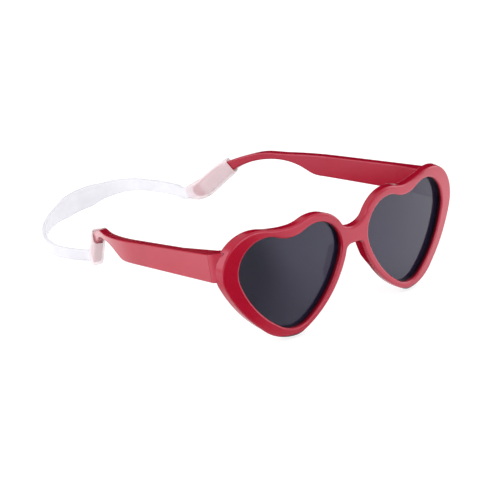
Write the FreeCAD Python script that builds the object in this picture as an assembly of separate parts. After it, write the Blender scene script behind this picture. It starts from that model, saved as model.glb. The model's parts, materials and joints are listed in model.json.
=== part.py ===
import FreeCAD, Part
import math
import os
from FreeCAD import Vector

# A child's heart shaped sunglasses with a soft head strap, sizes in millimetres.
# X runs across the front, the front looks along -Y, +Z is up.
# The wearer's left is +X. Side 1 is left and side -1 is right.

# Lens opening: a heart of eight tangent arcs, its other sizes in step with its half width
open_half = 23.0
open_lobe = 0.509 * open_half
open_lobe_z = 0.204 * open_half
open_cleft_z = 0.6 * open_half
open_bottom_z = -0.922 * open_half
open_flank = 1.74 * open_half
open_turn = 20.0

# Rim widths round the opening, and the plan curve of the whole front
nose_gap = 7.2
rim_nose = 3.4
rim_temple = 5.4
rim_top = 3.4
rim_cleft = 4.1
rim_bottom = 3.2
rim_depth = 4.5
face_radius = 245.0
outer_round = 0.9
rear_round = 1.2
open_round = 0.7

# How each side of the rim bulges, and how its wall leans per millimetre of depth
nose_bulge = 2.0
nose_turn = 22.0
nose_draft = -0.25
nose_lobe_draft = -0.1
nose_turn_draft = -0.8
nose_bulge_draft = 0.0
temple_bulge = 6.0
temple_turn = 18.0
temple_draft = 0.17
temple_lobe_draft = -0.15
temple_turn_draft = 0.6
temple_bulge_draft = 0.7
draft_front = -1.0
draft_back = 13.0

# Bridge between the hearts, and the nose pads moulded behind the rims
bridge_over = 5.5
bridge_under = 1.2
bridge_sink = 1.0
saddle_half = 7.0
saddle_rise = 2.4
saddle_blend = 5.0
arch_rise = 0.5
arch_blend = 2.4
pad_top = 1.4
pad_knee = 10.0
pad_foot = 21.0
pad_wall = 2.6
pad_inset = 0.1
pad_depth = 7.2
pad_round = 0.9
pad_start = 1.0

# Lens: a curved sheet in a groove
lens_thick = 1.2
lens_recess = 2.4
groove_depth = 1.0
lens_clear = 0.08

# Hinge place and the lie of each soft temple, degrees below level
hinge_inset = 4.2
hinge_back = 7.0
hinge_rise = 3.5
drop_left = 3.0
drop_right = 8.8

# Temple: plan and side sizes measured from the hinge axis
seam_gap = 0.1
outer_face = 6.6
inner_face = 0.7
end_height = 10.7
end_length = 5.0
end_nose = 3.6
end_lean = 24.0
blade_thick = 3.4
taper_end = 20.0
blade_straight = 52.0
blade_turn = 7.0
curl_radius = 90.0
tip_turn = 28.0
corner_at = 58.8
corner_drop = 4.1
corner_round = 2.5
tip_slope = 40.3
tip_end = 107.0
tip_end_drop = 12.0
tip_round = 2.6
edge_round = 0.5
neck_at = 81.0
neck_z = 2.9
neck_lean = 8.0
neck_half = 1.45
elbow_at = 88.4
elbow_z = 1.2
elbow_lean = 24.0
elbow_half = 1.6
mouth_half = 2.15
bend_at = 72.0
bend_top = 4.1
ramp_run = 7.2
ramp_rise = 3.15

# Hinge: a three knuckle metal hinge let into both mouldings
knuckle_radius = 1.6
knuckle_outer = 1.7
knuckle_mid = 1.8
knuckle_gap = 0.1
knuckle_clear = 0.2
leaf_thick = 1.0
leaf_length = 4.0
temple_leaf_length = 8.0
leaf_fit = 0.05
hinge_slack = 1.0
anchor_depth = 1.6
anchor_half = 0.8
screw_radius = 0.65
screw_head = 1.15
screw_head_height = 0.6
screw_slot = 0.3
screw_clear = 0.04

# Soft strap: a sleeve on each temple tip and a band round the back of the head
sleeve_mouth = 94.9
sleeve_wall = 0.9
sleeve_fit = 0.05
tail_slope = 14.0
tail_length = 7.0
sleeve_round = 1.2
tip_cover = 0.5
band_thick = 1.7
band_height = 4.6
band_gap = 0.1

# How far cutting shapes reach past the part
tool_reach = 80.0

# Places that follow from those sizes
lens_middle = open_half + rim_nose + nose_gap / 2
hinge_x = lens_middle + open_half + rim_temple - hinge_inset
hinge_y = face_radius - math.sqrt(face_radius ** 2 - hinge_x ** 2) + hinge_back
hinge_z = open_lobe_z + hinge_rise


def polar(centre, radius, degrees):
    a = math.radians(degrees)
    return Vector(centre.x + radius * math.cos(a), 0, centre.z + radius * math.sin(a))


def arc_between(centre, radius, start, end):
    # the shorter arc of a circle in the XZ plane, from start to end
    middle = (start - centre) + (end - centre)
    middle.normalize()
    return Part.Arc(start, centre + middle * radius, end).toShape()


def flip(point):
    return Vector(-point.x, point.y, point.z)


def half_heart(half, lobe, lobe_z, cleft_z, bottom_z, flank, turn, grow=0.0):
    # one side of a heart of tangent arcs in the XZ plane, from the cleft down to the point
    half, lobe, cleft_z = half + grow, lobe + grow, cleft_z + grow
    bottom_z, flank = bottom_z - grow, flank + grow
    lobe_centre = Vector(half - lobe, 0, lobe_z)
    rise = cleft_z - lobe_z
    cleft = (lobe_centre.x ** 2 + rise ** 2 - lobe ** 2) / (2 * (lobe - rise))
    cleft_centre = Vector(0, 0, cleft_z + cleft)
    flank_centre = polar(lobe_centre, lobe - flank, -turn)
    depth = flank_centre.z - bottom_z
    foot = (flank ** 2 - flank_centre.x ** 2 - depth ** 2) / (2 * (flank - depth))
    foot_centre = Vector(0, 0, bottom_z + foot)
    a = lobe_centre + (cleft_centre - lobe_centre).normalize() * lobe
    b = polar(lobe_centre, lobe, -turn)
    c = flank_centre + (foot_centre - flank_centre).normalize() * flank
    return [arc_between(cleft_centre, cleft, Vector(0, 0, cleft_z), a),
            Part.Arc(a, polar(lobe_centre, lobe, 45), b).toShape(),
            arc_between(flank_centre, flank, b, c),
            arc_between(foot_centre, foot, c, Vector(0, 0, bottom_z))]


def heart(right, left):
    # a closed heart round x = 0 from its two sides
    flipped = [edge.mirror(Vector(0, 0, 0), Vector(1, 0, 0)) for edge in left]
    return Part.Wire(Part.__sortEdges__(right + flipped))


def opening(grow=0.0):
    side = half_heart(open_half, open_lobe, open_lobe_z, open_cleft_z, open_bottom_z,
                      open_flank, open_turn, grow)
    return heart(side, side)


def rim_side(depth, grow, width, bulge, turn, drafts):
    # one side of the rim's outer edge at a depth: it leans as it goes back
    draft, lobe_draft, turn_draft, bulge_draft = drafts
    swell = lobe_draft * depth
    return half_heart(open_half + width + draft * depth, open_lobe + rim_top + swell,
                      open_lobe_z - swell, open_cleft_z + rim_cleft, open_bottom_z - rim_bottom,
                      open_flank + bulge + bulge_draft * depth, turn + turn_draft * depth, grow)


def outer(depth, grow):
    temple_side = rim_side(depth, grow, rim_temple, temple_bulge, temple_turn,
                           (temple_draft, temple_lobe_draft, temple_turn_draft, temple_bulge_draft))
    nose_side = rim_side(depth, grow, rim_nose, nose_bulge, nose_turn,
                         (nose_draft, nose_lobe_draft, nose_turn_draft, nose_bulge_draft))
    wire = heart(temple_side, nose_side)
    wire.translate(Vector(lens_middle, depth, 0))
    return wire


def rim_block(grow=0.0):
    # the left heart's outer walls from before the front face to behind the rim
    return Part.makeLoft([outer(draft_front, grow), outer(draft_back, grow)], True, True)


def prism(outline, x=0.0):
    # an outline in the XZ plane carried right through the part
    face = outline.copy() if outline.ShapeType == "Face" else Part.Face(outline)
    face.translate(Vector(x, -tool_reach, 0))
    return face.extrude(Vector(0, 2 * tool_reach, 0))


def shell(near, far):
    # the space between two depths behind the curved front face
    base = Vector(0, face_radius, -tool_reach)
    outside = Part.makeCylinder(face_radius - near, 2 * tool_reach, base)
    return outside.cut(Part.makeCylinder(face_radius - far, 2 * tool_reach, base))


def rounded(shape, radius, chosen):
    # rounds the edges that fit the test, and leaves the shape alone if none does
    edges = [e for e in shape.Edges if chosen(e)]
    return shape.makeFillet(radius, edges) if edges else shape


def depth_of(point):
    return face_radius - math.hypot(point.x, face_radius - point.y)


def middle_of(edge):
    return edge.valueAt((edge.FirstParameter + edge.LastParameter) / 2)


def upright(shape, side):
    # carries a left hand shape from the hinge's own frame to its side of the front
    shape = shape.copy() if side > 0 else shape.mirror(Vector(0, 0, 0), Vector(1, 0, 0))
    shape.translate(Vector(side * hinge_x, hinge_y, hinge_z))
    return shape


def place(shape, side):
    # the same for what slopes down with that side's temple
    shape = shape.copy()
    shape.rotate(Vector(0, 0, 0), Vector(1, 0, 0), -drop_left if side > 0 else -drop_right)
    return upright(shape, side)


def place_point(point, side):
    vertex = place(Part.Vertex(point), side)
    return vertex.Vertexes[0].Point


def box(x0, x1, y0, y1, z0, z1):
    return Part.makeBox(x1 - x0, y1 - y0, z1 - z0, Vector(x0, y0, z0))


def barrel(radius, z0, z1):
    return Part.makeCylinder(radius, z1 - z0, Vector(0, 0, z0))


# Knuckle levels along the hinge axis
mid_half = knuckle_mid / 2
outer_in = mid_half + knuckle_gap
outer_out = outer_in + knuckle_outer
leaf_in = inner_face + leaf_fit
leaf_out = leaf_in + leaf_thick


def hinge_room(way, length):
    # the recess that a leaf, its anchor and its knuckles need in the plastic
    deep = length + leaf_fit
    high = outer_out + leaf_fit
    slot = box(inner_face - 3, leaf_out + leaf_fit, -hinge_slack, deep, -high, high)
    fin = anchor(length, leaf_fit)
    if way < 0:
        slot = slot.mirror(Vector(0, 0, 0), Vector(0, 1, 0))
        fin = fin.mirror(Vector(0, 0, 0), Vector(0, 1, 0))
    top = outer_out + screw_head_height + knuckle_clear
    room = barrel(knuckle_radius + knuckle_clear, -outer_out - knuckle_clear, top)
    return slot.fuse([fin, room])


def anchor(length, grow=0.0):
    # the fin on a leaf's back that is sunk into the plastic
    return box(leaf_in, leaf_out + anchor_depth + grow, length * 0.4 - grow, length * 0.8 + grow,
               -anchor_half - grow, anchor_half + grow)


bridge_top_z = open_lobe_z + bridge_over
bridge_under_z = open_lobe_z - bridge_under


def bridge_face():
    # a bar with a saddle above and a shallow arch below, both ends inside the rims
    end = nose_gap / 2 + rim_nose + bridge_sink
    top_end = Vector(saddle_half, 0, bridge_top_z + saddle_rise)
    shoulder = Vector(end, 0, top_end.z)
    foot = Vector(end, 0, bridge_under_z - arch_rise)
    right = [Part.makeLine(top_end, shoulder), Part.makeLine(shoulder, foot)]
    left = [Part.makeLine(flip(e.Vertexes[0].Point), flip(e.Vertexes[1].Point)) for e in right]
    saddle = Part.Arc(flip(top_end), Vector(0, 0, bridge_top_z), top_end).toShape()
    arch = Part.Arc(foot, Vector(0, 0, bridge_under_z), flip(foot)).toShape()
    return Part.Face(Part.Wire(Part.sortEdges([saddle, arch] + right + left)[0]))


def nose_pad(side):
    # the rim's nose wall carried on behind it, deepest beside the bridge and run out below
    top, knee, foot = [open_lobe_z - fall for fall in (pad_top, pad_knee, pad_foot)]
    corners = [yz(pad_start, top), yz(pad_depth, top), yz(pad_depth, knee), yz(pad_start, foot)]
    reach = Part.Face(Part.makePolygon(corners + corners[:1])).extrude(Vector(lens_middle, 0, 0))
    pad = rim_block(-pad_inset).cut(rim_block(-pad_wall)).common(reach).Solids[0]
    pad = rounded(pad, pad_round, lambda e: middle_of(e).y > pad_depth - 0.01
                  or middle_of(e).z < knee and middle_of(e).y > pad_start + 0.01)
    return pad if side > 0 else pad.mirror(Vector(0, 0, 0), Vector(1, 0, 0))


def end_piece():
    # the stub that carries the hinge, its outer face flowing into the rim's side wall
    seam = Vector(outer_face, -seam_gap, 0)
    nose = Vector(end_nose, -end_length, 0)
    heel = Vector(inner_face, -end_length, 0)
    corner = Vector(inner_face, -seam_gap, 0)
    lean_in = math.radians(end_lean)
    flow = curve([seam, nose], Vector(0, -1, 0), Vector(-math.sin(lean_in), -math.cos(lean_in), 0))
    edges = [flow, Part.makeLine(nose, heel), Part.makeLine(heel, corner), Part.makeLine(corner, seam)]
    face = Part.Face(Part.Wire(edges))
    face.translate(Vector(0, 0, -end_height / 2))
    stub = face.extrude(Vector(0, 0, end_height))
    return rounded(stub, edge_round, lambda e: abs(middle_of(e).z) > end_height / 2 - 0.01
                   and middle_of(e).x > end_nose and middle_of(e).y < -seam_gap - 0.01)


def front_frame():
    body = prism(bridge_face())
    for side in (1, -1):
        rim = rim_block()
        body = body.fuse(rim if side > 0 else rim.mirror(Vector(0, 0, 0), Vector(1, 0, 0)))
    body = body.common(shell(0, rim_depth)).removeSplitter()
    body = rounded(body, saddle_blend, lambda e: joins_bridge(e) and middle_of(e).z > bridge_top_z)
    body = rounded(body, arch_blend, lambda e: joins_bridge(e) and middle_of(e).z < bridge_under_z)
    body = rounded(body, outer_round, lambda e: on_depth(e, 0))
    body = rounded(body, rear_round, lambda e: on_depth(e, rim_depth))
    for side in (1, -1):
        body = body.fuse([place(end_piece(), side), nose_pad(side)])
    near = lens_recess - lens_clear
    seat = shell(near, near + lens_thick + 2 * lens_clear)
    for side in (1, -1):
        body = body.cut(prism(opening(), side * lens_middle))
        body = body.cut(prism(opening(groove_depth), side * lens_middle).common(seat))
        body = body.cut(upright(hinge_room(-1, leaf_length), side))
    body = body.removeSplitter()
    holes = prism(opening(lens_clear), lens_middle).fuse(prism(opening(lens_clear), -lens_middle))
    return rounded(body, open_round,
                   lambda e: on_depth(e, 0) and holes.isInside(middle_of(e), 0.001, True))


def joins_bridge(edge):
    # true for an edge where the bridge meets a rim, from the front face to the back
    depths = [depth_of(v.Point) for v in edge.Vertexes]
    through = abs(abs(depths[0] - depths[-1]) - rim_depth) < 0.1
    return through and nose_gap / 4 < abs(middle_of(edge).x) < nose_gap / 2 + rim_nose


def on_depth(edge, depth):
    # true for an edge that lies along the curved surface at this depth
    first, last = edge.FirstParameter, edge.LastParameter
    spots = [edge.valueAt(first + (last - first) * k / 4) for k in range(5)]
    return all(abs(depth_of(p) - depth) < 0.01 for p in spots)


def lens(side):
    sheet = prism(opening(groove_depth - lens_clear), side * lens_middle)
    return sheet.common(shell(lens_recess, lens_recess + lens_thick)).Solids[0]


def yz(y, z):
    return Vector(0, y, z)


def curve(points, start=None, end=None):
    # a smooth curve through a few points, with its end directions if they are given
    spline = Part.BSplineCurve()
    if start is None:
        spline.interpolate(points)
    else:
        spline.interpolate(points, InitialTangent=start, FinalTangent=end)
    return spline.toShape()


def lean(degrees):
    # the direction of a centre line that falls by this angle, and its upward normal
    a = math.radians(degrees)
    return yz(math.cos(a), -math.sin(a)), yz(math.sin(a), math.cos(a))


tip_along, tip_up = lean(tip_slope)
tip_centre = yz(tip_end, -tip_end_drop)
mouth_centre = tip_centre - tip_along * ((tip_end - sleeve_mouth) / tip_along.y)


def side_face(grow=0.0):
    # the temple seen from its side: a blade, a narrow neck and a rounded tip bent down
    half = end_height / 2
    along, up = lean(neck_lean)
    neck = yz(neck_at, neck_z)
    elbow_up = lean(elbow_lean)[1]
    elbow = yz(elbow_at, elbow_z)
    rise = [yz(bend_at, bend_top), neck + up * (neck_half + grow),
            elbow + elbow_up * (elbow_half + grow), mouth_centre + tip_up * (mouth_half + grow),
            tip_centre + tip_up * (tip_round + grow)]
    corner = yz(corner_at, -corner_drop)
    fall = [tip_centre - tip_up * (tip_round + grow), mouth_centre - tip_up * (mouth_half + grow),
            elbow - elbow_up * (elbow_half + grow), neck - up * (neck_half + grow),
            corner + yz(ramp_run, ramp_rise), corner + yz(corner_round, corner_round * 0.3)]
    front_top, front_foot = yz(0, half), yz(0, -half)
    top_way = (rise[0] - front_top).normalize()
    ramp_way = yz(ramp_run, ramp_rise).normalize()
    foot_way = (corner - front_foot).normalize()
    corner_in = corner - foot_way * corner_round
    edges = [Part.makeLine(front_foot, front_top), Part.makeLine(front_top, rise[0]),
             curve(rise, top_way, tip_along),
             Part.Arc(rise[-1], tip_centre + tip_along * (tip_round + grow), fall[0]).toShape(),
             curve(fall, tip_along * -1, ramp_way * -1),
             curve([fall[-1], corner_in], ramp_way * -1, foot_way * -1),
             Part.makeLine(corner_in, front_foot)]
    return Part.Face(Part.Wire(edges))


def plan_turn(degrees):
    # the direction of a temple that turns inwards by this angle, and its inward normal
    a = math.radians(degrees)
    return Vector(-math.sin(a), math.cos(a), 0), Vector(-math.cos(a), -math.sin(a), 0)


blade_way, blade_in = plan_turn(blade_turn)
tip_way, tip_in = plan_turn(tip_turn)
curl_start = Vector(outer_face, 0, 0) + blade_way * blade_straight
curl_centre = curl_start + blade_in * curl_radius
curl_end = curl_centre - tip_in * curl_radius


def plan_point(y, inwards):
    # a point on the straight part of the tip, this far in from its outer face
    return curl_end + tip_way * ((y - curl_end.y) / tip_way.y) + tip_in * inwards


def plan_face(grow=0.0):
    # the temple seen from above: thick at the hinge, then an even strip that curls inwards
    far = tip_end + 2 * tip_round
    inner = blade_thick + grow
    middle_in = ((blade_in + tip_in) * 0.5).normalize()
    outer_radius, inner_radius = curl_radius + grow, curl_radius - inner
    start = Vector(outer_face, 0, 0) - blade_in * grow
    o1, o2 = curl_centre - blade_in * outer_radius, curl_centre - tip_in * outer_radius
    i1, i2 = curl_centre - blade_in * inner_radius, curl_centre - tip_in * inner_radius
    o3, i3 = plan_point(far, -grow), plan_point(far, inner)
    taper = i1 - blade_way * (blade_straight - taper_end)
    hub = Vector(inner_face, 0, 0)
    edges = [Part.makeLine(start, o1),
             Part.Arc(o1, curl_centre - middle_in * outer_radius, o2).toShape(),
             Part.makeLine(o2, o3), Part.makeLine(o3, i3), Part.makeLine(i3, i2),
             Part.Arc(i2, curl_centre - middle_in * inner_radius, i1).toShape(),
             Part.makeLine(i1, taper), Part.makeLine(taper, hub), Part.makeLine(hub, start)]
    return Part.Face(Part.Wire(edges))


def crossed(side, plan):
    # the solid that has this outline from its side and that one from above
    side.translate(Vector(-tool_reach, 0, 0))
    plan.translate(Vector(0, 0, -tool_reach))
    wide, tall = Vector(2 * tool_reach, 0, 0), Vector(0, 0, 2 * tool_reach)
    return side.extrude(wide).common(plan.extrude(tall)).Solids[0]


def temple_blank(grow=0.0):
    return crossed(side_face(grow), plan_face(grow))


def temple(side):
    body = temple_blank()
    body = rounded(body, edge_round, lambda e: e.BoundBox.YLength > 1.5)
    return place(body, side).cut(upright(hinge_room(1, temple_leaf_length), side))


# Where each sleeve runs out into the band
tail_along, tail_up = lean(tail_slope)
tail_end = tip_centre + tail_along * tail_length


def sleeve_side():
    # the sleeve seen from the side: a tube over the tip that runs down into the band
    half = band_height / 2
    mouth = tip_up * (mouth_half + sleeve_wall)
    wide = tip_up * (tip_round + sleeve_wall)
    top, foot = tip_centre + wide, tip_centre - wide
    tail_top, tail_foot = tail_end + Vector(0, 0, half), tail_end - Vector(0, 0, half)
    edges = [Part.makeLine(mouth_centre - mouth, mouth_centre + mouth),
             Part.makeLine(mouth_centre + mouth, top), curve([top, tail_top], tip_along, tail_along),
             Part.makeLine(tail_top, tail_foot),
             curve([tail_foot, foot], tail_along * -1, tip_along * -1),
             Part.makeLine(foot, mouth_centre - mouth)]
    return Part.Face(Part.Wire(edges))


def sleeve_plan():
    # the sleeve seen from above: an even tube that thins down to the band past the tip
    full = tip_centre.y + tip_round + tip_cover
    thin = (blade_thick - band_thick) / 2
    outside = [plan_point(elbow_at, -sleeve_wall), plan_point(full, -sleeve_wall),
               plan_point(tail_end.y, thin)]
    inside = [plan_point(tail_end.y, thin + band_thick), plan_point(full, blade_thick + sleeve_wall),
              plan_point(elbow_at, blade_thick + sleeve_wall)]
    points = outside + inside
    return Part.Face(Part.makePolygon(points + points[:1]))


def sleeve(side):
    body = rounded(crossed(sleeve_side(), sleeve_plan()), sleeve_round,
                   lambda e: e.BoundBox.YLength > tail_length * 0.8)
    return place(body.cut(temple_blank(sleeve_fit)), side)


def front_leaf(side):
    leaf = box(leaf_in, leaf_out, 0, leaf_length, -outer_out, outer_out)
    leaf = leaf.fuse(anchor(leaf_length)).mirror(Vector(0, 0, 0), Vector(0, 1, 0))
    leaf = leaf.fuse([barrel(knuckle_radius, outer_in, outer_out),
                      barrel(knuckle_radius, -outer_out, -outer_in)])
    leaf = leaf.cut(barrel(knuckle_radius + knuckle_clear, -outer_in, outer_in))
    leaf = leaf.cut(barrel(screw_radius + screw_clear, -outer_out, outer_out))
    return upright(leaf.removeSplitter(), side)


def temple_leaf(side):
    leaf = box(leaf_in, leaf_out, 0, temple_leaf_length, -outer_out, outer_out)
    leaf = leaf.fuse(anchor(temple_leaf_length))
    for way in (1, -1):
        ends = sorted((way * mid_half, way * (outer_out + knuckle_gap)))
        leaf = leaf.cut(barrel(knuckle_radius + knuckle_clear, *ends))
    leaf = leaf.fuse(barrel(knuckle_radius, -mid_half, mid_half))
    leaf = leaf.cut(barrel(screw_radius + screw_clear, -outer_out, outer_out))
    return upright(leaf.removeSplitter(), side)


def screw(side):
    body = barrel(screw_radius, -outer_out, outer_out)
    head = barrel(screw_head, outer_out, outer_out + screw_head_height)
    slot = box(-screw_head, screw_head, -screw_slot / 2, screw_slot / 2,
               outer_out + screw_head_height / 2, outer_out + screw_head_height)
    return upright(body.fuse(head).cut(slot).removeSplitter(), side)


# The band's way round the back of the head, from the left sleeve to the right one:
# middle points measured from the hinge axis level, and heights
band_route = [(28.8, 121.5, -20.8, 4.7), (29.0, 138.6, -22.5, 4.8), (27.3, 151.1, -24.5, 5.2),
              (22.4, 158.1, -26.4, 6.4), (13.5, 160.7, -27.8, 9.4), (3.0, 159.7, -28.2, 9.0),
              (-6.9, 157.3, -29.5, 6.4), (-15.8, 152.3, -30.2, 5.2), (-25.3, 142.9, -30.5, 4.6),
              (-31.0, 132.9, -30.6, 4.4), (-32.4, 123.1, -30.6, 4.4)]


def band_section(middle, along, up, height):
    # the corners of a flat rectangle square to the band's way
    across = along.cross(up).normalize() * (band_thick / 2)
    rise = up * (height / 2)
    return [middle + across + rise, middle - across + rise,
            middle - across - rise, middle + across - rise]


def band_end(side):
    # the band's first section, just clear of a sleeve's tail
    middle = plan_point(tail_end.y, blade_thick / 2) + Vector(0, 0, tail_end.z)
    start = place_point(middle + tip_way * band_gap, side)
    along = place_point(middle + tip_way, side) - place_point(middle, side)
    up = place_point(middle + Vector(0, 0, 1), side) - place_point(middle, side)
    return start, along, up


def strap_band():
    # four smooth edges through the corners of the sections, with faces drawn between them
    start, way, up = band_end(1)
    last, last_way, last_up = band_end(-1)
    line = [start] + [Vector(x, hinge_y + y, hinge_z + z) for x, y, z, high in band_route] + [last]
    sections = [band_section(start, way, up, band_height)]
    for before, point, after, spot in zip(line, line[1:], line[2:], band_route):
        along = Vector(after.x - before.x, after.y - before.y, 0)
        sections.append(band_section(point, along.normalize(), Vector(0, 0, 1), spot[3]))
    sections.append(band_section(last, last_way * -1, last_up, band_height))
    travel = [0.0]
    for before, after in zip(line, line[1:]):
        travel.append(travel[-1] + before.distanceToPoint(after))
    edges = []
    for corner in range(4):
        smooth = Part.BSplineCurve()
        smooth.interpolate(Points=[s[corner] for s in sections], Parameters=travel)
        edges.append(smooth.toShape())
    faces = [Part.makeRuledSurface(edges[k], edges[(k + 1) % 4], 1) for k in range(4)]
    for end in (sections[0], sections[-1]):
        faces.append(Part.Face(Part.makePolygon(end + end[:1])))
    skin = Part.makeShell(faces)
    skin.sewShape()
    return Part.makeSolid(Part.Shell(skin.Faces))


os.makedirs("parts", exist_ok=True)
parts = {"front_frame": front_frame(), "strap_band": strap_band()}
for name, side in (("left", 1), ("right", -1)):
    parts["lens_" + name] = lens(side)
    parts["temple_" + name] = temple(side)
    parts["hinge_front_leaf_" + name] = front_leaf(side)
    parts["hinge_temple_leaf_" + name] = temple_leaf(side)
    parts["hinge_screw_" + name] = screw(side)
    parts["strap_sleeve_" + name] = sleeve(side)

# The finished part stands with its base at z = 0, over the middle of its plan
whole = Part.makeCompound(list(parts.values())).optimalBoundingBox()
to_base = Vector(-whole.Center.x, -whole.Center.y, -whole.ZMin)
print("moved by", [round(v, 3) for v in to_base])
for name, shape in parts.items():
    shape.translate(to_base)
    b = shape.BoundBox
    print(name, shape.isValid(), len(shape.Solids), round(shape.Volume, 1),
          [round(v, 1) for v in (b.XMin, b.XMax, b.YMin, b.YMax, b.ZMin, b.ZMax)])
    shape.exportStep("parts/" + name + ".step")
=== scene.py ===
import json
import math
import bpy
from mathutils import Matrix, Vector


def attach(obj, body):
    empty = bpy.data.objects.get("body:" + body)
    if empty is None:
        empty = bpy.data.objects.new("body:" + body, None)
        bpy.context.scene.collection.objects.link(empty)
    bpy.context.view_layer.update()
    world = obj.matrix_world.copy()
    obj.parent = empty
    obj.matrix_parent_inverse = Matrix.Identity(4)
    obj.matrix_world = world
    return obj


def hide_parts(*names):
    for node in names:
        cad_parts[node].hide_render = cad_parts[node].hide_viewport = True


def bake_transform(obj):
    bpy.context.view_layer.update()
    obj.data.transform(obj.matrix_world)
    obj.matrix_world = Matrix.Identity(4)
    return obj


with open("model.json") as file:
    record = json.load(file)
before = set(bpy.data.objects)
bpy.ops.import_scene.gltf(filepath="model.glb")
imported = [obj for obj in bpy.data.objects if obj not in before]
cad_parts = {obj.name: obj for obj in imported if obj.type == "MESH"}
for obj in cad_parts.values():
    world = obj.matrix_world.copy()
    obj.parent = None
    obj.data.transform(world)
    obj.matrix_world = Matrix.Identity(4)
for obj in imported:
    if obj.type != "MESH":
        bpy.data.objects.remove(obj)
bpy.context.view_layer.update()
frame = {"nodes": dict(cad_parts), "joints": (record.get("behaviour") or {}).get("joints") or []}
nodes = frame["nodes"]
mm = 0.001
hingeSpot = next(j["pos_m"] for j in frame["joints"] if j["name"] == "left_fold")
print("frame loaded,", len(nodes), "nodes")


def freshMaterial(name):
    mat = bpy.data.materials.new(name)
    mat.use_nodes = True
    mat.node_tree.nodes.clear()
    return mat, mat.node_tree


def addNode(tree, kind, x, y, **settings):
    node = tree.nodes.new(kind)
    node.location = (x, y)
    for key, value in settings.items():
        setattr(node, key, value)
    return node


def setInputs(node, **values):
    for key, value in values.items():
        node.inputs[key.replace("_", " ")].default_value = value


def dressNode(name, mat):
    node = nodes[name]
    node.data.materials.clear()
    node.data.materials.append(mat)


def buildGrainGroup():
    # one group for every finish: fine texture for bump, broad mottle for colour and gloss
    group = bpy.data.node_groups.new("mouldedGrain", "ShaderNodeTree")
    face = group.interface
    face.new_socket("Vector", in_out="INPUT", socket_type="NodeSocketVector")
    for name, value in (("Fine Scale", 2200.0), ("Broad Scale", 60.0), ("Speck", 0.25)):
        socket = face.new_socket(name, in_out="INPUT", socket_type="NodeSocketFloat")
        socket.default_value = value
    face.new_socket("Height", in_out="OUTPUT", socket_type="NodeSocketFloat")
    face.new_socket("Mottle", in_out="OUTPUT", socket_type="NodeSocketFloat")
    start = addNode(group, "NodeGroupInput", -700, 0)
    end = addNode(group, "NodeGroupOutput", 500, 0)
    fine = addNode(group, "ShaderNodeTexNoise", -400, 200)
    setInputs(fine, Detail=3.0, Roughness=0.55)
    pits = addNode(group, "ShaderNodeTexVoronoi", -400, -60)
    broad = addNode(group, "ShaderNodeTexNoise", -400, -340)
    setInputs(broad, Detail=4.0, Roughness=0.5)
    blendIn = addNode(group, "ShaderNodeMix", 0, 120)
    group.links.new(start.outputs["Vector"], fine.inputs["Vector"])
    group.links.new(start.outputs["Vector"], pits.inputs["Vector"])
    group.links.new(start.outputs["Vector"], broad.inputs["Vector"])
    group.links.new(start.outputs["Fine Scale"], fine.inputs["Scale"])
    group.links.new(start.outputs["Fine Scale"], pits.inputs["Scale"])
    group.links.new(start.outputs["Broad Scale"], broad.inputs["Scale"])
    group.links.new(start.outputs["Speck"], blendIn.inputs[0])
    group.links.new(fine.outputs["Fac"], blendIn.inputs[2])
    group.links.new(pits.outputs["Distance"], blendIn.inputs[3])
    group.links.new(blendIn.outputs[0], end.inputs["Height"])
    group.links.new(broad.outputs["Fac"], end.inputs["Mottle"])
    return group


grainGroup = buildGrainGroup()


mottleSpan = (0.35, 0.65)    # the part of the broad noise that the colour and the gloss use
plainSockets = {"ior": "IOR", "alpha": "Alpha", "tint": "Specular Tint", "metal": "Metallic"}


def grainedSurface(name, look):
    # a Principled surface whose colour, gloss and bump follow the grain group
    mat, tree = freshMaterial(name)
    links = tree.links
    coords = addNode(tree, "ShaderNodeTexCoord", -1000, 0)
    grain = addNode(tree, "ShaderNodeGroup", -760, 0, node_tree=grainGroup)
    setInputs(grain, Fine_Scale=look["fineScale"], Broad_Scale=look["broadScale"], Speck=look["speck"])
    links.new(coords.outputs["Object"], grain.inputs["Vector"])
    tone = addNode(tree, "ShaderNodeValToRGB", -460, 240)
    for stop, spot, colour in zip(tone.color_ramp.elements, mottleSpan, (look["deep"], look["pale"])):
        stop.position, stop.color = spot, colour
    gloss = addNode(tree, "ShaderNodeMapRange", -460, -40)
    setInputs(gloss, From_Min=mottleSpan[0], From_Max=mottleSpan[1],
              To_Min=look["roughLow"], To_Max=look["roughHigh"])
    bump = addNode(tree, "ShaderNodeBump", -460, -320)
    setInputs(bump, Strength=look["bump"], Distance=look["bumpDepth"])
    skin = addNode(tree, "ShaderNodeBsdfPrincipled", -120, 120)
    out = addNode(tree, "ShaderNodeOutputMaterial", 240, 120)
    links.new(grain.outputs["Mottle"], tone.inputs["Fac"])
    links.new(grain.outputs["Mottle"], gloss.inputs["Value"])
    links.new(grain.outputs["Height"], bump.inputs["Height"])
    links.new(tone.outputs["Color"], skin.inputs["Base Color"])
    links.new(gloss.outputs["Result"], skin.inputs["Roughness"])
    links.new(bump.outputs["Normal"], skin.inputs["Normal"])
    links.new(skin.outputs["BSDF"], out.inputs["Surface"])
    for key, socket in plainSockets.items():
        if key in look:
            skin.inputs[socket].default_value = look[key]
    return mat


redLook = {"deep": (0.385, 0.0018, 0.019, 1), "pale": (0.425, 0.003, 0.023, 1), "fineScale": 2600.0,
           "broadScale": 55.0, "speck": 0.3, "roughLow": 0.19, "roughHigh": 0.22, "bump": 0.05,
           "bumpDepth": 0.00006, "ior": 1.52, "tint": (1.0, 0.8, 0.94, 1)}
redPlastic = grainedSurface("satinRedPlastic", redLook)
# a copy of the red for the front, which gets painted shade in its lens seats
redFrontPaintedShade = grainedSurface("satinRedFrontPaintedShade", redLook)

# painted shade in the lens seats: reach in mm; open and closed corners are where the colour is whole and
# where the painted shade is darkest
seatShadeLook = {"reach": 3.2, "closed": 0.56, "open": 0.92, "dark": 0.02, "samples": 12}


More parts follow.
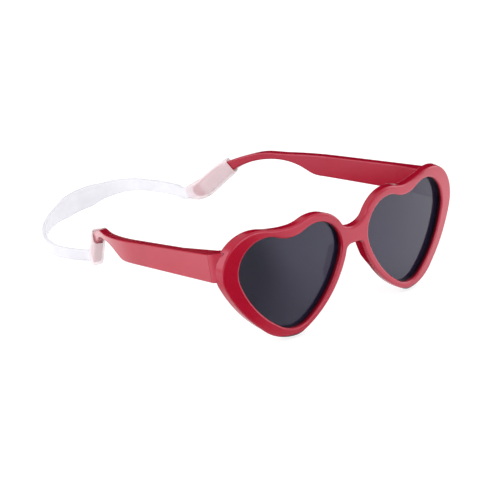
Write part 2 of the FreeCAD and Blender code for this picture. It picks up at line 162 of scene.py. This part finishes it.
def paintSeatShade(mat, look):
    # painted shade: ambient occlusion darkens the base colour where the lens and the wall of the lens seat
    # meet
    tree = mat.node_tree
    skin = next(node for node in tree.nodes if node.type == "BSDF_PRINCIPLED")
    tone = skin.inputs["Base Color"].links[0].from_socket
    corner = addNode(tree, "ShaderNodeAmbientOcclusion", -760, 420, samples=look["samples"])
    setInputs(corner, Distance=look["reach"] * mm)
    fade = addNode(tree, "ShaderNodeMapRange", -560, 420, interpolation_type="SMOOTHSTEP")
    setInputs(fade, From_Min=look["closed"], From_Max=look["open"], To_Min=look["dark"])
    shade = addNode(tree, "ShaderNodeMix", -320, 360, data_type="RGBA", blend_type="MULTIPLY")
    shade.inputs[0].default_value = 1.0
    tree.links.new(corner.outputs["AO"], fade.inputs["Value"])
    tree.links.new(tone, shade.inputs[6])
    tree.links.new(fade.outputs["Result"], shade.inputs[7])
    tree.links.new(shade.outputs[2], skin.inputs["Base Color"])


# paints shade into the front's lens seats
paintSeatShade(redFrontPaintedShade, seatShadeLook)

lensLook = {"deep": (0.008, 0.008, 0.022, 1), "pale": (0.011, 0.01, 0.028, 1), "fineScale": 900.0,
            "broadScale": 45.0, "speck": 0.1, "roughLow": 0.07, "roughHigh": 0.1, "bump": 0.012,
            "bumpDepth": 0.00003, "ior": 1.40, "alpha": 0.85, "tint": (0.74, 0.7, 1.0, 1)}
smokedLens = grainedSurface("smokedLens", lensLook)

steelLook = {"deep": (0.52, 0.52, 0.53, 1), "pale": (0.64, 0.64, 0.65, 1), "fineScale": 5200.0,
             "broadScale": 700.0, "speck": 0.5, "roughLow": 0.24, "roughHigh": 0.38, "bump": 0.15,
             "bumpDepth": 0.00003, "metal": 1.0}
hingeSteel = grainedSurface("hingeSteel", steelLook)

sleeveLook = {"deep": (0.96, 0.79, 0.82, 1), "pale": (1.0, 0.86, 0.89, 1), "fineScale": 1500.0,
              "broadScale": 110.0, "speck": 0.15, "roughLow": 0.3, "roughHigh": 0.4, "bump": 0.08,
              "bumpDepth": 0.00005, "ior": 1.41, "alpha": 0.5}
clearSleeve = grainedSurface("clearSleeveSilicone", sleeveLook)

bandLook = {"deep": (0.76, 0.74, 0.81, 1), "pale": (0.83, 0.815, 0.88, 1), "fineScale": 1500.0,
            "broadScale": 110.0, "speck": 0.15, "roughLow": 0.34, "roughHigh": 0.44, "bump": 0.08,
            "bumpDepth": 0.00005, "ior": 1.41, "alpha": 0.42}
milkyBand = grainedSurface("milkyBandSilicone", bandLook)

# the faces where the two strap halves meet are inside one clear moulding
clearSeam = grainedSurface("clearSeam", dict(bandLook, alpha=0.0))

for name in nodes:
    if name == "front_frame":
        dressNode(name, redFrontPaintedShade)
    elif name.startswith("temple_"):
        dressNode(name, redPlastic)
    elif name.startswith("lens_"):
        dressNode(name, smokedLens)
    elif name.startswith("hinge_"):
        dressNode(name, hingeSteel)
print("materials on the CAD nodes")


def deselectAll():
    if bpy.context.object is not None and bpy.context.object.mode != "OBJECT":
        bpy.ops.object.mode_set(mode="OBJECT")
    bpy.ops.object.select_all(action="DESELECT")


def pickFaces(piece, test):
    # selects the faces that pass the test, from the mesh as it stands in edit mode
    bpy.ops.mesh.select_all(action="DESELECT")
    bpy.ops.object.mode_set(mode="OBJECT")
    for face in piece.data.polygons:
        face.select = test(face.center, face.normal)
    bpy.ops.object.mode_set(mode="EDIT")


def pickEdges(piece, test):
    bpy.ops.mesh.select_all(action="DESELECT")
    bpy.ops.object.mode_set(mode="OBJECT")
    spots = piece.data.vertices
    for edge in piece.data.edges:
        edge.select = test(spots[edge.vertices[0]].co, spots[edge.vertices[1]].co)
    bpy.ops.object.mode_set(mode="EDIT")


def barOfRings(name, rings):
    # rings are (along, half thickness, half height) in mm; the bar lies along X
    deselectAll()
    along, thick, high = rings[0]
    bpy.ops.mesh.primitive_cube_add(size=1, location=(0, 0, 0))
    bar = bpy.context.object
    bar.name = name
    bpy.ops.object.mode_set(mode="EDIT")
    bpy.ops.mesh.select_mode(type="FACE")
    bpy.ops.mesh.select_all(action="SELECT")
    step = (rings[1][0] - along) * mm
    bpy.ops.transform.resize(value=(step, 2 * thick * mm, 2 * high * mm), center_override=(0, 0, 0))
    bpy.ops.transform.translate(value=(along * mm + step / 2, 0, 0))
    pickFaces(bar, lambda spot, way: way.x > 0.9)
    old = rings[0]
    for number, ring in enumerate(rings[1:]):
        if number:
            bpy.ops.mesh.extrude_region_move(
                TRANSFORM_OT_translate={"value": ((ring[0] - old[0]) * mm, 0, 0)})
        bpy.ops.transform.resize(value=(1, ring[1] / old[1], ring[2] / old[2]),
                                 center_override=(ring[0] * mm, 0, 0))
        old = ring
    return bar


def roundLongEdges(bar, share, segments):
    # the rounding is a share, in percent, of the sides of each ring, so it tapers with the bar
    bpy.ops.mesh.select_mode(type="EDGE")
    pickEdges(bar, lambda a, b: abs(a.x - b.x) > 1e-6 and a.y * b.y > 0 and a.z * b.z > 0)
    bpy.ops.mesh.bevel(offset_type="PERCENT", offset_pct=share, segments=segments, affect="EDGES")
    bpy.ops.mesh.select_mode(type="FACE")


def wayCurve(name, points):
    deselectAll()
    bpy.ops.curve.primitive_bezier_curve_add(location=(0, 0, 0))
    way = bpy.context.object
    way.name = name
    way.data.twist_mode = "Z_UP"
    way.data.resolution_u = 32
    spots = way.data.splines[0].bezier_points
    spots.add(len(points) - 2)
    for spot, point in zip(spots, points):
        spot.co = Vector(point) * mm
        spot.handle_left_type = spot.handle_right_type = "AUTO"
    bpy.context.view_layer.update()
    return way


def layAlong(bar, way, smooth, finish):
    # lays the bar along the curve, applies the modifiers and leaves its place in the mesh
    bpy.ops.object.mode_set(mode="OBJECT")
    bpy.context.view_layer.objects.active = bar
    if smooth:
        soft = bar.modifiers.new("soft", "SUBSURF")
        soft.levels = soft.render_levels = smooth
        bpy.ops.object.modifier_apply(modifier="soft")
    follow = bar.modifiers.new("follow", "CURVE")
    follow.object = way
    follow.deform_axis = "POS_X"
    bpy.ops.object.modifier_apply(modifier="follow")
    deselectAll()
    bar.select_set(True)
    bpy.context.view_layer.objects.active = bar
    bpy.ops.object.shade_smooth_by_angle(angle=math.radians(50))
    bar.data.materials.clear()
    bar.data.materials.append(finish)
    return bar


def curveLength(way):
    return sum(s.calc_length() for s in way.data.splines) / mm


def fromHinge(points):
    # points given across, back and up from the hinge line, in mm
    return [(x, hingeSpot[1] / mm + y, hingeSpot[2] / mm + z) for x, y, z in points]


sleeve = {
    "left": [(36.55, 94.19, -6.24), (33.33, 99.97, -11.69), (30.11, 105.74, -17.13),
             (26.67, 112.13, -19.59)],
    "right": [(-36.52, 93.06, -15.73), (-33.3, 98.26, -21.72), (-30.08, 103.45, -27.72),
              (-26.67, 109.57, -30.82)],
    "rings": [(0, 2.65, 3.6), (4, 2.65, 3.75), (9, 2.65, 3.9), (14, 2.65, 4.05), (18, 2.6, 4.1),
              (20.5, 2.3, 3.75), (23, 1.45, 3.0), (25, 0.95, 2.4)],
    "wall": 0.8,
    "hollow": [(4, 1.0, 1.05), (9, 1.0, 1.07), (14, 1.0, 1.06), (18.5, 0.92, 0.92), (19.8, 0.6, 0.6)],
    "corner": 28, "cornerSteps": 4, "smooth": 1}    # corner is a percentage


def makeSleeve(side):
    way = wayCurve("sleeveWay_" + side, fromHinge(sleeve[side]))
    bar = barOfRings("silicone_sleeve_" + side, sleeve["rings"])
    roundLongEdges(bar, sleeve["corner"], sleeve["cornerSteps"])
    pickFaces(bar, lambda spot, aim: aim.x < -0.9 and spot.x < 0.5 * mm)
    bpy.ops.mesh.inset(thickness=sleeve["wall"] * mm)
    last = 0.0
    for along, thick, high in sleeve["hollow"]:
        bpy.ops.mesh.extrude_region_move(TRANSFORM_OT_translate={"value": ((along - last) * mm, 0, 0)})
        bpy.ops.transform.resize(value=(1, thick, high), center_override=(along * mm, 0, 0))
        last = along
    layAlong(bar, way, sleeve["smooth"], clearSleeve)
    bpy.data.objects.remove(way)
    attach(bar, side + "_temple")
    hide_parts("strap_sleeve_" + side)
    print("sleeve", side, "made")


for side in ("left", "right"):
    makeSleeve(side)

band = {
    "route": [(28.5, 108.73, -18.55), (26.7, 112.04, -19.67), (28.8, 121.5, -20.8), (29.0, 138.6, -22.5),
              (27.3, 151.1, -24.5),
              (22.4, 158.1, -26.4), (13.5, 160.7, -27.8), (3.0, 159.7, -28.2), (-6.9, 157.3, -29.5),
              (-15.8, 152.3, -30.2), (-25.3, 142.9, -30.5), (-31.0, 132.9, -30.6), (-32.4, 123.1, -30.6),
              (-26.7, 109.54, -30.77), (-28.5, 106.29, -29.44)],
    "heights": [(0.0, 4.6), (0.07, 4.7), (0.2, 4.8), (0.3, 5.2), (0.36, 6.4), (0.43, 9.2), (0.51, 9.2),
                (0.58, 6.4), (0.66, 5.2), (0.76, 4.6), (0.85, 4.4), (1.0, 4.5)],
    "thick": 1.7, "corner": 14, "cornerSteps": 3, "rings": 140, "split": 0.47,
    "free": (8.0, 160.14, -27.97), "leftHold": (28.0, 120.64, -20.77), "rightHold": (-31.0, 120.64, -30.57)}


def bandHeight(share):
    # the band's height at this share of its length, eased between the listed ones
    for (s0, h0), (s1, h1) in zip(band["heights"], band["heights"][1:]):
        if share <= s1:
            t = (share - s0) / (s1 - s0)
            return h0 + (h1 - h0) * t * t * (3 - 2 * t)
    return band["heights"][-1][1]


def makeBandHalf(side, way, first, last):
    length = curveLength(way)
    count = int(band["rings"] * (last - first)) + 1
    rings = []
    for k in range(count + 1):
        share = first + (last - first) * k / count
        rings.append((share * length, band["thick"] / 2, bandHeight(share) / 2))
    half = barOfRings("strap_half_" + side, rings)
    roundLongEdges(half, band["corner"], band["cornerSteps"])
    bpy.ops.object.mode_set(mode="OBJECT")
    joint = band["split"] * length * mm
    seam = [face.index for face in half.data.polygons
            if abs(face.normal.x) > 0.9 and abs(face.center.x - joint) < 0.01 * mm]
    layAlong(half, way, 0, milkyBand)
    half.data.materials.append(clearSeam)
    for number in seam:
        half.data.polygons[number].material_index = 1
    return half


bandWay = wayCurve("bandWay", fromHinge(band["route"]))
leftHalf = makeBandHalf("left", bandWay, 0.0, band["split"])
rightHalf = makeBandHalf("right", bandWay, band["split"], 1.0)
bpy.data.objects.remove(bandWay)
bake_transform(leftHalf)
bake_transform(rightHalf)
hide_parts("strap_band")
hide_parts("strap_band")
print("strap made in two halves")


def seenMask(tree, x, y):
    # 1 for what the camera, reflections and clear parts see, 0 for the light that falls on the part
    path = addNode(tree, "ShaderNodeLightPath", x, y)
    seen = addNode(tree, "ShaderNodeMath", x + 240, y, operation="MAXIMUM")
    seenToo = addNode(tree, "ShaderNodeMath", x + 420, y, operation="MAXIMUM")
    tree.links.new(path.outputs["Is Camera Ray"], seen.inputs[0])
    tree.links.new(path.outputs["Is Glossy Ray"], seen.inputs[1])
    tree.links.new(seen.outputs[0], seenToo.inputs[0])
    tree.links.new(path.outputs["Is Transmission Ray"], seenToo.inputs[1])
    return seenToo.outputs[0]


floorLook = {"size": 24, "drop": 0.0004, "sheet": (0.5, 0.5, 0.5, 1), "glow": 0.7,
             "plain": (0.85, 0.85, 0.85, 1)}


def makeFloor():
    deselectAll()
    bpy.ops.mesh.primitive_plane_add(size=floorLook["size"], location=(0, 0, -floorLook["drop"]))
    floor = bpy.context.object
    floor.name = "paleFloor"
    mat, tree = freshMaterial("paleFloor")
    links = tree.links
    mask = seenMask(tree, -800, 240)
    sheet = addNode(tree, "ShaderNodeBsdfDiffuse", -300, 0)    # keeps the shadow
    setInputs(sheet, Color=floorLook["sheet"])
    glow = addNode(tree, "ShaderNodeEmission", -300, -160)
    setInputs(glow, Strength=floorLook["glow"])
    both = addNode(tree, "ShaderNodeAddShader", -60, -80)
    plain = addNode(tree, "ShaderNodeBsdfDiffuse", -60, 80)
    setInputs(plain, Color=floorLook["plain"])
    pick = addNode(tree, "ShaderNodeMixShader", 160, 40)
    out = addNode(tree, "ShaderNodeOutputMaterial", 360, 40)
    links.new(sheet.outputs[0], both.inputs[0])
    links.new(glow.outputs[0], both.inputs[1])
    links.new(mask, pick.inputs[0])
    links.new(plain.outputs[0], pick.inputs[1])
    links.new(both.outputs[0], pick.inputs[2])
    links.new(pick.outputs[0], out.inputs["Surface"])
    floor.data.materials.append(mat)


makeFloor()

worldLook = {"fill": (0.97, 0.98, 1.0, 1), "fillStrength": 0.6, "white": (1, 1, 1, 1), "whiteStrength": 1.0}


def makeWorld():
    world = bpy.data.worlds.new("studioWhite")
    bpy.context.scene.world = world
    world.use_nodes = True
    tree = world.node_tree
    tree.nodes.clear()
    links = tree.links
    mask = seenMask(tree, -700, 200)
    fill = addNode(tree, "ShaderNodeBackground", -300, 0)
    setInputs(fill, Color=worldLook["fill"], Strength=worldLook["fillStrength"])
    white = addNode(tree, "ShaderNodeBackground", -300, -140)
    setInputs(white, Color=worldLook["white"], Strength=worldLook["whiteStrength"])
    pick = addNode(tree, "ShaderNodeMixShader", -60, 60)
    out = addNode(tree, "ShaderNodeOutputWorld", 140, 60)
    links.new(mask, pick.inputs[0])
    links.new(fill.outputs[0], pick.inputs[1])
    links.new(white.outputs[0], pick.inputs[2])
    links.new(pick.outputs[0], out.inputs["Surface"])


makeWorld()

lampAim = Vector((0, 0, 0.02))
lamps = {"right": {"place": (0.9, -0.3, 0.3), "size": 0.8, "power": 3.8},
         "left": {"place": (-0.8, 0.2, 0.35), "size": 0.8, "power": 5.3},
         "front": {"place": (0.15, -1.0, 0.35), "size": 0.8, "power": 4.0}}


def makeLamp(name, look):
    bpy.ops.object.light_add(type="AREA", location=look["place"])
    lamp = bpy.context.object
    lamp.name = "lamp_" + name
    lamp.data.shape = "SQUARE"
    lamp.data.size = look["size"]
    lamp.data.energy = look["power"]
    lamp.rotation_euler = (lampAim - Vector(look["place"])).to_track_quat("-Z", "Y").to_euler()


for lampName, lampLook in lamps.items():
    makeLamp(lampName, lampLook)

# cards that only reflections see: glowing ones lie beside the part, black ones shade the rest
cards = {
    "glowSide": {"place": (-0.19, 0.0, 0.0006), "half": (0.125, 0.2), "glow": 2.2, "soft": 0.6},
    "glowFront": {"place": (0.09, -0.135, 0.0006), "half": (0.13, 0.1), "glow": 2.1, "soft": 0.6},
    "glowInner": {"place": (-0.05, 0.045, 0.0007), "half": (0.045, 0.06), "glow": 1.7, "soft": 0.6},
    "darkFar": {"place": (0.03, -0.52, 0.0009), "half": (0.2, 0.26), "glow": 0.0, "soft": 0.35},
    "darkFront": {"place": (-0.065, -0.185, 0.0009), "half": (0.08, 0.12), "glow": 0.0, "soft": 0.35},
    "darkNose": {"place": (0.008, -0.025, 0.0009), "half": (0.06, 0.065), "glow": 0.0, "soft": 0.4},
    "darkBack": {"place": (0.6, 0.58, 0.4), "half": (1.2, 0.95), "turn": (70, 0, -43),
                 "glow": 0.0, "soft": 0.35}}


def makeCard(name, look):
    deselectAll()
    bpy.ops.mesh.primitive_plane_add(size=2, location=look["place"])
    card = bpy.context.object
    card.name = "card_" + name
    card.scale = (*look["half"], 1)
    card.rotation_euler = [math.radians(a) for a in look.get("turn", (0, 0, 0))]
    mat, tree = freshMaterial(name)
    links = tree.links
    coords = addNode(tree, "ShaderNodeTexCoord", -800, 0)
    ball = addNode(tree, "ShaderNodeTexGradient", -600, 0, gradient_type="SPHERICAL")
    soft = addNode(tree, "ShaderNodeMapRange", -400, 0, interpolation_type="SMOOTHSTEP")
    setInputs(soft, From_Min=0.0, From_Max=look["soft"])
    clear = addNode(tree, "ShaderNodeBsdfTransparent", -400, 200)
    light = addNode(tree, "ShaderNodeEmission", -400, -260)
    setInputs(light, Strength=look["glow"])
    pick = addNode(tree, "ShaderNodeMixShader", -100, 60)
    out = addNode(tree, "ShaderNodeOutputMaterial", 100, 60)
    links.new(coords.outputs["Object"], ball.inputs["Vector"])
    links.new(ball.outputs["Fac"], soft.inputs["Value"])
    links.new(soft.outputs["Result"], pick.inputs[0])
    links.new(clear.outputs[0], pick.inputs[1])
    links.new(light.outputs[0], pick.inputs[2])
    links.new(pick.outputs[0], out.inputs["Surface"])
    card.data.materials.append(mat)
    card.visible_camera = card.visible_diffuse = False
    card.visible_shadow = card.visible_transmission = False


for cardName, cardLook in cards.items():
    makeCard(cardName, cardLook)
print("lamps and cards set")

photoCamera = {"place": (-0.60645, -0.705788, 0.349691), "turn": (69.7206, 3.2932, -42.9263),
               "lens": 184.426, "sensor": 36.0, "clip": (0.05, 20)}


def makeCamera():
    bpy.ops.object.camera_add(location=photoCamera["place"])
    camera = bpy.context.object
    camera.data.lens = photoCamera["lens"]
    camera.data.sensor_width = photoCamera["sensor"]
    camera.data.clip_start, camera.data.clip_end = photoCamera["clip"]
    camera.rotation_euler = [math.radians(a) for a in photoCamera["turn"]]
    bpy.context.scene.camera = camera


makeCamera()
bpy.context.scene.view_settings.view_transform = "Standard"
print("stage set")
